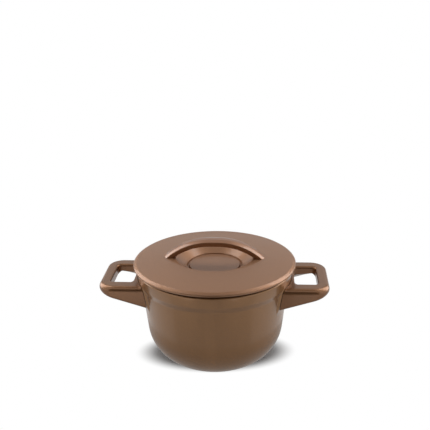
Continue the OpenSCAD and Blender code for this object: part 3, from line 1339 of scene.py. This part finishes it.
    def screw_places(self, side: Side) -> list[Matrix]:
        """Places the screws on the window's side next to the pot, pointing inwards.

        Args:
            side: Side of the pot.

        Returns:
            The matrices, for screws that point along +Z from their head.
        """
        turn = Matrix.Rotation(side.value, 4, "Z")
        inwards = Matrix.Rotation(-math.pi / 2, 4, "Y")
        height = self.top_z - self.screw_drop
        return [
            turn @ Matrix.Translation((self.window_x0, end * self.screw_pitch / 2, height)) @ inwards
            for end in (-1, 1)
        ]


@dataclass(frozen=True)
class SocketScrew:
    """A screw with a hexagon socket; its head's face lies at Z = 0 and it points along +Z."""

    head: Head
    thread_d: float
    length: float
    head_d: float
    head_h: float
    key_w: float
    key_depth: float
    pitch: float
    clearance: float = 0.1
    edge: float = 0.25
    fine_r: float = 0.1
    tip_bevel: float = 0.6
    key_bevel: float = 0.15
    key_cone: float = 0.3
    sides: int = 48
    thread_depth: float = 0.28

    def columns(self) -> list[float]:
        """Angles of the columns round the axis."""
        return round_columns(self.sides)

    def key_r(self, angle: float) -> float:
        """Distance from the axis to the socket's wall at an angle."""
        sixth = math.pi / 3
        return self.key_w / 2 / math.cos(angle % sixth - sixth / 2)

    def threaded(self, radius: float, height: float, angle: float) -> Vector:
        """Gives a point on the thread's helix."""
        start = self.head_h + self.pitch
        fade = smooth_step(start, start + self.pitch, height)
        fade *= 1 - smooth_step(self.length - 2 * self.pitch, self.length - self.pitch, height)
        phase = (height / self.pitch - angle / (2 * math.pi)) % 1.0
        groove = 1 - abs(2 * phase - 1)
        return on_circle(radius - self.thread_depth * groove * fade, height, angle)

    def profile(self) -> list[Vector]:
        """Outer profile from the edge of the head's face to the middle of the tip."""
        head_r, thread_r = self.head_d / 2, self.thread_d / 2
        edge, fine_r = self.edge, self.fine_r
        if self.head is Head.FLAT:
            top = [(head_r - edge, 0, 0), (head_r, 0, fine_r), (head_r - edge / 2, edge, fine_r)]
        else:
            top = [(head_r - 2 * edge, 0, 0), (head_r, 0, 2 * edge - fine_r), (head_r, self.head_h, fine_r)]
        tip = [(thread_r, self.head_h, 0), (thread_r, self.length - self.tip_bevel, fine_r),
               (thread_r - self.tip_bevel, self.length, fine_r), (0, self.length, 0)]
        return refine(soften(top + tip, 4), lambda p: self.pitch / 8 if p.x > thread_r * 0.9 else 2.0)

    def build(self) -> Skin:
        """Makes one screw.

        Returns:
            Its skin, in its own place.
        """
        skin = Skin()
        columns = self.columns()
        skin.turn(self.profile(), columns, self.threaded)
        face = list(range(self.sides))
        mouth = skin.row(on_circle(self.key_r(angle) + self.key_bevel, 0, angle) for angle in columns)
        walls = [
            skin.row(on_circle(self.key_r(angle), height, angle) for angle in columns)
            for height in (self.key_bevel, self.key_depth)
        ]
        bottom = skin.row([Vector((0, 0, self.key_depth + self.key_cone))])
        for first, second in zip([face, mouth, *walls], [mouth, *walls, bottom]):
            skin.join(first, second)
        return skin

    def sink(self) -> Skin:
        """Makes the solid that a sunk hole for this screw takes away.

        Returns:
            Its skin, in the screw's place.
        """
        head_r = self.head_d / 2 + self.clearance
        thread_r = self.thread_d / 2 + self.clearance
        over = 2.0
        skin = Skin()
        skin.turn(
            [Vector(point) for point in
             ((0, -over), (head_r, -over), (head_r, 0), (thread_r, head_r - thread_r),
              (thread_r, self.length), (0, self.length))],
            self.columns(),
        )
        return skin


@dataclass(frozen=True)
class Lid:
    """The cast lid: a shallow dome with a rounded edge, a finger well and a centring ring below."""

    pot: Pot
    overhang: float = 2.7
    edge_h: float = 4.2
    edge_slope_w: float = 3.0
    edge_slope_h: float = 1.7
    edge_r: float = 1.9
    edge_gap: float = 0.6
    dome: float = 4.8
    plate_t: float = 3.2
    skirt_h: float = 6.0
    skirt_t: float = 2.6
    skirt_gap: float = 0.7
    well_r: float = 40.5
    lip_h: float = 3.0
    lip_lean: float = 0.9
    cone_w: float = 11.0
    cone_h: float = 6.2
    groove_w: float = 2.9
    groove_out: float = 0.8
    groove_lean: float = 0.9
    groove_depth: float = 2.3
    groove_edge_r: float = 0.3
    lip_r: float = 0.7
    foot_land: float = 7.0
    boss_d: float = 12.0
    boss_z: float = 106.56
    boss_edge_r: float = 0.8
    columns: int = 256
    boss_columns: int = 48

    @property
    def radius(self) -> float:
        """Outer radius."""
        return self.pot.rim_r + self.overhang

    @property
    def dome_r(self) -> float:
        """Radius of the ball that the top is part of."""
        return (self.radius**2 + self.dome**2) / (2 * self.dome)

    @property
    def dome_z(self) -> float:
        """Height of that ball's centre."""
        return self.pot.height + self.edge_h + self.dome - self.dome_r

    @property
    def foot_x(self) -> float:
        """Distance of the grip's feet from the axis."""
        return self.well_r + self.foot_land

    @property
    def cone_edge(self) -> Range:
        """Radius and height of the upper edge of the well's cone."""
        return self.well_r - self.lip_lean, self.top_at(self.well_r) - self.lip_h

    @property
    def floor_edge(self) -> Range:
        """Radius and height at which that cone meets the well's floor."""
        cone_r, cone_z = self.cone_edge
        return cone_r - self.cone_w, cone_z - self.cone_h

    def top_at(self, radius: float, grow: float = 0.0) -> float:
        """Height of the top, or of a surface that lies grow outside it, at a radius."""
        return self.dome_z + math.sqrt((self.dome_r + grow) ** 2 - radius**2)

    def dome_line(self, start: float, end: float, grow: float, steps: int) -> list[Place]:
        """Gives the corners of a line along the dome between two radii."""
        return [(radius, self.top_at(radius, grow), 0.0) for radius in spread(start, end, steps)]

    def top(self) -> list[Vector]:
        """Profile of the top, from the middle of the well to the foot of the edge."""
        (cone_r, cone_z), (floor_r, floor_z) = self.cone_edge, self.floor_edge
        ring_r = floor_r + self.groove_out
        groove_r = ring_r - self.groove_w
        groove_z = floor_z - self.groove_depth
        soft = self.groove_edge_r
        slope_r = self.radius - self.edge_slope_w
        edge_foot = self.pot.height + self.edge_gap
        return soften(
            [(0, floor_z, 0),
             (groove_r, floor_z, soft),
             (groove_r + self.groove_lean, groove_z, soft),
             (ring_r - self.groove_lean, groove_z, soft),
             (ring_r, floor_z, soft),
             (cone_r, cone_z, 1.2),
             (self.well_r, self.top_at(self.well_r), self.lip_r)]
            + self.dome_line(self.well_r + 3, slope_r - 2, 0.0, 12)
            + [(slope_r, self.top_at(slope_r), 3.0),
               (self.radius, self.top_at(self.radius) - self.edge_slope_h, self.edge_r),
               (self.radius, edge_foot, 0.4),
               (self.radius - 2, edge_foot, 0)]
        )

    def underside(self) -> list[Vector]:
        """Profile of the underside, from the edge's foot to the middle of the well."""
        pot_h, thick = self.pot.height, self.plate_t
        skirt_r = self.pot.inner_at(pot_h - self.skirt_h) - self.skirt_gap
        skirt_in = skirt_r - self.skirt_t
        (cone_r, cone_z), (floor_r, floor_z) = self.cone_edge, self.floor_edge
        wall_r = self.well_r + thick
        return soften(
            [(self.radius - 3, pot_h + self.edge_gap, 0),
             (skirt_r + 3.2, pot_h + self.edge_gap, 0.2),
             (skirt_r + 2.6, pot_h, 0.2),
             (skirt_r, pot_h, 0.8),
             (skirt_r, pot_h - self.skirt_h, 0.9),
             (skirt_in, pot_h - self.skirt_h, 0.9),
             (skirt_in, self.top_at(skirt_in, -thick), 1.5)]
            + self.dome_line(skirt_in - 3, wall_r + 3, -thick, 6)
            + [(wall_r - 0.4, self.top_at(wall_r, -thick), 1.0),
               (cone_r + thick, cone_z - thick / 2, 1.5),
               (floor_r + thick / 2, floor_z - thick, 2.0),
               (0, floor_z - thick, 0)]
        )

    def build(self) -> bpy.types.Object:
        """Makes the casting, with a boss below each foot of the grip.

        Returns:
            The piece, with the coating as its first material and the lining as its second.
        """
        top = refine(self.top(), lambda p: 4.0)
        below = refine(self.underside(), lambda p: 6.0)
        skin = Skin()
        skin.turn(
            top + below, round_columns(self.columns), finish_of=lambda step: int(step >= len(top))
        )
        made = skin.piece("lid_casting")
        boss = Skin()
        boss_r = self.boss_d / 2
        high = self.top_at(self.foot_x) - self.plate_t / 2
        profile = soften(
            [(0, self.boss_z, 0), (boss_r, self.boss_z, self.boss_edge_r), (boss_r, high, 0), (0, high, 0)]
        )
        boss.turn(profile, round_columns(self.boss_columns), finish_of=lambda step: 1)
        bosses = boss.moved(Matrix.Translation((end * self.foot_x, 0, 0)) for end in (-1, 1))
        combine(made, [bosses.piece("bosses")], Operation.ADD)
        even_normals(made)
        return made


@dataclass(frozen=True)
class LidGrip:
    """The arched strap over the finger well: a straight middle and an arc down to each foot."""

    lid: Lid
    width: float = 16.0
    thickness: float = 6.3
    rise: float = 16.3
    straight: float = 8.7
    foot_gap: float = 0.1
    crown_w: float = 5.0
    crown_h: float = 1.6
    crown_r: float = 6.0
    top_edge_r: float = 1.0
    under_edge_r: float = 1.2
    round_steps: int = 10
    arc_steps: int = 40

    @property
    def arc_r(self) -> float:
        """Radius of the arcs' middle line."""
        span = self.lid.foot_x - self.straight / 2
        return (span**2 + self.rise**2) / (2 * self.rise)

    @property
    def arc_z(self) -> float:
        """Height of the arcs' centres."""
        return self.lid.top_at(self.lid.foot_x) + self.rise - self.arc_r

    def outline(self) -> list[Vector]:
        """Section of the strap: distance outside the middle line, and place along Y."""
        out, edge = self.thickness / 2, self.width / 2
        corners = [(out, 0, 0), (out, edge - self.crown_w, self.crown_r),
                   (out - self.crown_h, edge, self.top_edge_r), (-out, edge, self.under_edge_r), (-out, 0, 0)]
        half = refine(soften(corners, self.round_steps), lambda point: 2.5)
        return half + [Vector((point.x, -point.y)) for point in half[-2:0:-1]]

    def on_arc(self, spot: Vector, angle: float) -> Vector:
        """Gives the point of the +X arc at a spot of the section and an angle from the top."""
        radius = self.arc_r + spot.x
        return Vector(
            (self.straight / 2 + radius * math.sin(angle), spot.y, self.arc_z + radius * math.cos(angle))
        )

    def foot_angle(self, spot: Vector) -> float:
        """Finds the angle at which a line of the strap reaches the lid.

        Args:
            spot: Spot of the section.

        Returns:
            The angle from the top, in radians.
        """
        low, high = 0.0, math.pi / 2
        for _ in range(40):
            middle = (low + high) / 2
            point = self.on_arc(spot, middle)
            if point.z > self.lid.top_at(math.hypot(point.x, point.y), self.foot_gap):
                low = middle
            else:
                high = middle
        return low

    def build(self) -> bpy.types.Object:
        """Makes the strap.

        Returns:
            The piece.
        """
        outline = self.outline()
        ends = [self.foot_angle(spot) for spot in outline]
        mirror = Matrix.Scale(-1, 3, Vector((1, 0, 0)))
        right = [
            [self.on_arc(spot, end * share) for spot, end in zip(outline, ends)]
            for share in spread(0, 1, self.arc_steps)
        ]
        left = [[mirror @ point for point in ring] for ring in reversed(right)]
        skin = Skin()
        rows = [skin.row(ring) for ring in left + right]
        for first, second in zip(rows, rows[1:]):
            skin.join(first, second)
        for ring, row in ((left[0], rows[0]), (right[-1], rows[-1])):
            middle = sum(ring, Vector((0, 0, 0))) / len(ring)
            middle.z = self.lid.top_at(math.hypot(middle.x, middle.y), self.foot_gap)
            skin.join(row, skin.row([middle]))
        return skin.piece("grip_strap")


@dataclass(frozen=True)
class GripFasteners:
    """The screws and washers that hold the grip from below the lid."""

    lid: Lid
    grip: LidGrip
    washer_d: float = 9.2
    washer_t: float = 1.0
    hole_d: float = 4.2
    tip_cover: float = 1.1
    head_h: float = 2.4

    @property
    def screw_z(self) -> float:
        """Height of the face of the screws' heads."""
        return self.lid.boss_z - self.washer_t - self.head_h

    def places(self, height: float) -> list[Matrix]:
        """Places something below each foot at a height."""
        return [Matrix.Translation((end * self.lid.foot_x, 0, height)) for end in (-1, 1)]

    def screw(self) -> SocketScrew:
        """Gives the screw, long enough to end below the strap's outer face."""
        reach = self.grip.arc_r + self.grip.thickness / 2
        span = self.lid.foot_x - self.grip.straight / 2 + self.hole_d / 2
        tip = self.grip.arc_z + math.sqrt(reach**2 - span**2) - self.tip_cover
        return SocketScrew(
            Head.CHEESE, thread_d=4.0, length=tip - self.screw_z, head_d=7.4, head_h=self.head_h,
            key_w=2.5, key_depth=1.4, pitch=0.7,
        )

    def build(self) -> tuple[bpy.types.Object, bpy.types.Object]:
        """Makes the screws and the washers.

        Returns:
            The piece with both screws and the piece with both washers.
        """
        screw = self.screw()
        screws = screw.build().moved(self.places(self.screw_z)).piece("grip_foot_screws", FINE_CREASE)
        ring = Skin()
        outer, inner, top = self.washer_d / 2, self.hole_d / 2, self.washer_t
        ring.turn(
            soften([(inner + 1, 0, 0), (outer, 0, 0.35), (outer, top, 0.1), (inner, top, 0.1),
                    (inner, 0, 0.3), (inner + 0.9, 0, 0)], 4),
            screw.columns(),
            closed=True,
        )
        places = self.places(self.lid.boss_z - self.washer_t)
        washers = ring.moved(places).piece("grip_foot_washers", FINE_CREASE)
        return screws, washers


# Studio


@dataclass(frozen=True)
class Lamp:
    """A soft rectangular lamp that faces the object."""

    name: str
    place: Place
    width: float
    height: float
    watts: float
    aim: Place = (0.0, 0.0, 60.0)

    def build(self) -> None:
        """Makes the lamp."""
        data = bpy.data.lights.new(self.name, "AREA")
        data.shape = "RECTANGLE"
        data.size = self.width * MM
        data.size_y = self.height * MM
        data.energy = self.watts
        made = bpy.data.objects.new(self.name, data)
        made.location = Vector(self.place) * MM
        made.rotation_mode = "QUATERNION"
        made.rotation_quaternion = (Vector(self.aim) - Vector(self.place)).to_track_quat("-Z", "Y")
        bpy.context.scene.collection.objects.link(made)


def at_height(height: float, *points: Sequence[float]) -> tuple[Place, ...]:
    """Gives the corners of a level card through those points."""
    return tuple((x, y, height) for x, y in points)


def level_box(x: Range, y: Range, height: float) -> tuple[Place, ...]:
    """Gives the corners of a level rectangular card."""
    return at_height(height, (x[0], y[0]), (x[1], y[0]), (x[1], y[1]), (x[0], y[1]))


def upright(x: Range, y: float, z: Range) -> tuple[Place, ...]:
    """Gives the corners of an upright rectangular card that faces along Y."""
    return (x[0], y, z[0]), (x[1], y, z[0]), (x[1], y, z[1]), (x[0], y, z[1])


def flipped(corners: Iterable[Place]) -> tuple[Place, ...]:
    """Gives the corners of a card's mirror image on the other side of the YZ plane."""
    return tuple((-x, y, z) for x, y, z in corners)


# Corners of the left cards for painted reflections; the right ones mirror them
LEFT_FLOOR_PANEL = at_height(1.2, (-85.0, -180.0), (-420.0, -180.0), (-520.0, -780.0), (-150.0, -780.0))
LEFT_FRONT_PANEL = upright((-480.0, -140.0), -790.0, (0.0, 280.0))


@dataclass(frozen=True)
class ReflectionCard:
    """A glowing card that only reflections show: a painted reflection, mostly greyer than the studio's white,
    on part of a casting.
    """

    name: str
    corners: tuple[Place, ...]
    level: float

    def build(self) -> None:
        """Makes the card."""
        skin = Skin()
        skin.card(Vector(corner) for corner in self.corners)
        made = skin.piece(self.name)
        material = bpy.data.materials.new(self.name)
        material.use_nodes = True
        wiring = Wiring(material.node_tree)
        glow = wiring.white("ShaderNodeEmission", self.level)
        wiring.feed(material.node_tree.nodes["Material Output"].inputs["Surface"], glow)
        made.data.materials[0] = material
        made.visible_camera = made.visible_diffuse = False
        made.visible_shadow = made.visible_transmission = False


@dataclass(frozen=True)
class Camera:
    """The camera at the photograph's viewing angle."""

    place: Place = (47.1, -677.5, 397.7)
    pitch: float = 19.402
    yaw: float = 3.882
    roll: float = -0.797
    focal_px: float = 700.0
    image_px: float = 430.0

    def build(self) -> None:
        """Makes the camera and hands it to the scene."""
        data = bpy.data.cameras.new("camera")
        data.sensor_width = 36.0
        data.lens = data.sensor_width * self.focal_px / self.image_px
        made = bpy.data.objects.new("camera", data)
        bpy.context.scene.collection.objects.link(made)
        turn = Matrix.Rotation(math.radians(self.yaw), 4, "Z")
        tilt = Matrix.Rotation(math.radians(90 - self.pitch), 4, "X")
        roll = Matrix.Rotation(math.radians(self.roll), 4, "Z")
        made.matrix_world = Matrix.Translation(Vector(self.place) * MM) @ turn @ tilt @ roll
        bpy.context.scene.camera = made


@dataclass(frozen=True)
class Studio:
    """A pale floor, a white background and soft lamps."""

    floor_half: float = 30000.0
    floor_colour: Colour = (0.33, 0.34, 0.35)
    floor_tone: float = 0.985
    floor_grain: float = 180.0
    floor_roughness: float = 0.7
    # Painted shadow: an ellipse round the object, squeezed along Y and turned, inside which the floor shows
    # its grey and outside which it glows white
    shade_r: Range = (60.0, 90.0)
    shade_depth: float = 1.9
    shade_turn: float = 4.0
    shade_lift: float = 0.03
    ambient: float = 0.22
    lamps: tuple[Lamp, ...] = (
        Lamp("left_softbox", (-880.0, 410.0, 500.0), 720.0, 940.0, 5.4),
        Lamp("right_softbox", (880.0, 410.0, 500.0), 720.0, 940.0, 5.7),
        Lamp("left_upper_lamp", (-515.0, 370.0, 960.0), 320.0, 300.0, 0.76),
        Lamp("right_upper_lamp", (515.0, 370.0, 960.0), 320.0, 300.0, 1.05),
    )
    # Glowing cards that only reflections show: painted reflections on the castings, darker or lighter than
    # the studio's white
    reflection_cards: tuple[ReflectionCard, ...] = (
        ReflectionCard("back_flag", upright((-1500.0, 1500.0), 1300.0, (40.0, 1700.0)), 0.3),
        ReflectionCard("back_panel", upright((-800.0, 700.0), 1290.0, (320.0, 1600.0)), 0.64),
        ReflectionCard("front_flag", ((-900.0, -900.0, 0.0), (900.0, -900.0, 0.0), (700.0, -800.0, 1100.0),
                            (-700.0, -800.0, 1100.0)), 0.06),
        ReflectionCard("top_flag", level_box((-450.0, 450.0), (-450.0, 450.0), 1500.0), 0.32),
        ReflectionCard("high_panel", level_box((-450.0, 450.0), (451.0, 950.0), 1400.0), 0.8),
        ReflectionCard("floor_flag", level_box((-1500.0, 1500.0), (-1000.0, 1300.0), 0.3), 0.66),
        ReflectionCard("front_floor_flag", at_height(0.6, (0.0, -41.0), (41.4, -62.5), (880.0, -418.0), (880.0, -900.0),
                                           (-880.0, -900.0), (-880.0, -418.0), (-41.4, -62.5)), 0.5),
        ReflectionCard("far_floor_flag",
             at_height(0.9, (-880.0, -900.0), (880.0, -900.0), (300.0, -250.0), (-300.0, -250.0)), 0.1),
        ReflectionCard("left_floor_panel", LEFT_FLOOR_PANEL, 1.1),
        ReflectionCard("left_front_panel", LEFT_FRONT_PANEL, 0.5),
        ReflectionCard("right_floor_panel", flipped(LEFT_FLOOR_PANEL), 0.95),
        ReflectionCard("right_front_panel", flipped(LEFT_FRONT_PANEL), 0.35),
        ReflectionCard("near_floor_flag", at_height(0.9, *arc((0, 0), 118.0, 0, 352.5, 47)), 0.38),
    )

    def seen(self, wiring: Wiring) -> bpy.types.NodeSocket:
        """Gives 1 for the rays that show the background: camera, glossy and transmission rays."""
        rays = wiring.node("ShaderNodeLightPath").outputs
        glossy = wiring.math("MAXIMUM", rays["Is Camera Ray"], rays["Is Glossy Ray"])
        return wiring.math("MAXIMUM", glossy, rays["Is Transmission Ray"])

    def world(self) -> None:
        """Makes the white background and the soft light all round."""
        made = bpy.data.worlds.new("studio")
        made.use_nodes = True
        wiring = Wiring(made.node_tree)
        soft = made.node_tree.nodes["Background"]
        soft.inputs["Color"].default_value = WHITE
        soft.inputs["Strength"].default_value = self.ambient
        white = wiring.white("ShaderNodeBackground")
        choice = wiring.choose(self.seen(wiring), soft.outputs[0], white)
        wiring.feed(made.node_tree.nodes["World Output"].inputs["Surface"], choice)
        bpy.context.scene.world = made

    def floor(self) -> None:
        """Makes the pale floor, which keeps the object's shadow inside a painted shadow ellipse: there the
        floor shows its own grey, and away from it the floor glows white.
        """
        skin = Skin()
        half = self.floor_half
        skin.card(Vector(corner) for corner in level_box((-half, half), (-half, half), 0.0))
        made = skin.piece("floor")
        material, wiring, shader, place = new_material("pale_floor")
        paper = wiring.noise(place, self.floor_grain, 3.0)
        darker = colour4(self.floor_colour, self.floor_tone)
        wiring.feed(shader.inputs["Base Color"], wiring.blend(paper, darker, colour4(self.floor_colour)))
        shader.inputs["Roughness"].default_value = self.floor_roughness
        shader.inputs["Specular IOR Level"].default_value = 0.0
        # Painted shadow: the floor stays grey inside a squeezed, turned ellipse round the object and glows
        # white outside it
        shade = wiring.node("ShaderNodeMapping", vector_type="TEXTURE")
        wiring.feed(shade.inputs["Vector"], place)
        shade.inputs["Rotation"].default_value = (0, 0, math.radians(self.shade_turn))
        shade.inputs["Scale"].default_value = (1, 1 / self.shade_depth, 1)
        distance = wiring.node("ShaderNodeVectorMath", operation="LENGTH")
        wiring.feed(distance.inputs[0], shade.outputs[0])
        away = wiring.span(distance.outputs["Value"], *(r * MM for r in self.shade_r), self.shade_lift, 1.0)
        away.node.interpolation_type = "SMOOTHSTEP"
        shown = wiring.math("MULTIPLY", self.seen(wiring), away)
        choice = wiring.choose(shown, shader.outputs[0], wiring.white("ShaderNodeEmission"))
        wiring.feed(material.node_tree.nodes["Material Output"].inputs["Surface"], choice)
        made.data.materials[0] = material

    def build(self) -> None:
        """Makes the world, the floor, the lamps and the reflection cards."""
        bpy.context.scene.view_settings.view_transform = "Standard"
        self.world()
        self.floor()
        for stand in (*self.lamps, *self.reflection_cards):
            stand.build()


def main() -> None:
    """Builds the studio and the sub-assemblies, in order."""
    logging.basicConfig(level=logging.INFO, format="%(name)s: %(message)s")
    Camera().build()
    Studio().build()

    effects = Effects()
    # One bronze coating covers the castings; their colours differ as painted light: the lid and grip redder,
    # as the coating looks at a slant, and the handles and grip darker, as painted shade
    pot_coat = BronzeCoating("pot_bronze", (0.33, 0.158, 0.055), coat=0.8).build(effects)
    handle_coat = BronzeCoating(
        "handle_bronze", (0.24, 0.104, 0.037), gloss=(0.30, 0.36), coat=0.5
    ).build(effects)
    lid_coat = BronzeCoating(
        "lid_bronze", (0.322, 0.160, 0.080), gloss=(0.46, 0.52), coat=0.5
    ).build(effects)
    grip_coat = BronzeCoating("grip_bronze", (0.28, 0.115, 0.042), gloss=(0.48, 0.54)).build(effects)
    lining = DarkLining("dark_lining").build(effects)
    turned = PlainSteel(
        "screw_steel", (0.56, 0.55, 0.54), stretch=(900.0, 900.0, 9000.0), gloss=(0.22, 0.34)
    ).build(effects)
    stamped = PlainSteel(
        "washer_steel", (0.60, 0.59, 0.58), stretch=(6000.0, 600.0, 600.0), gloss=(0.28, 0.40)
    ).build(effects)

    pot = Pot()
    handle = LoopHandle(pot)
    screw = SocketScrew(
        Head.FLAT, thread_d=5.0, length=10.0, head_d=9.6, head_h=2.3, key_w=3.0, key_depth=1.8, pitch=0.8
    )
    dress(pot.build(handle), [pot_coat, lining], Body.POT, "pot_body")
    for side in Side:
        name = side.name.lower()
        dress(handle.build(side, screw), [handle_coat], Body.POT, f"handle_{name}")
        placed = screw.build().moved(handle.screw_places(side))
        screws = placed.piece(f"handle_{name}_fixing_screws", FINE_CREASE)
        dress(screws, [turned], Body.POT, f"handle_screws_{name}")

    lid = Lid(pot)
    grip = LidGrip(lid)
    dress(lid.build(), [lid_coat, lining], Body.LID, "lid_shell")
    dress(grip.build(), [grip_coat], Body.LID, "lid_grip")
    grip_screws, grip_washers = GripFasteners(lid, grip).build()
    dress(grip_screws, [turned], Body.LID, "grip_screws")
    dress(grip_washers, [stamped], Body.LID, "grip_washers")


if __name__ == "__main__":
    main()
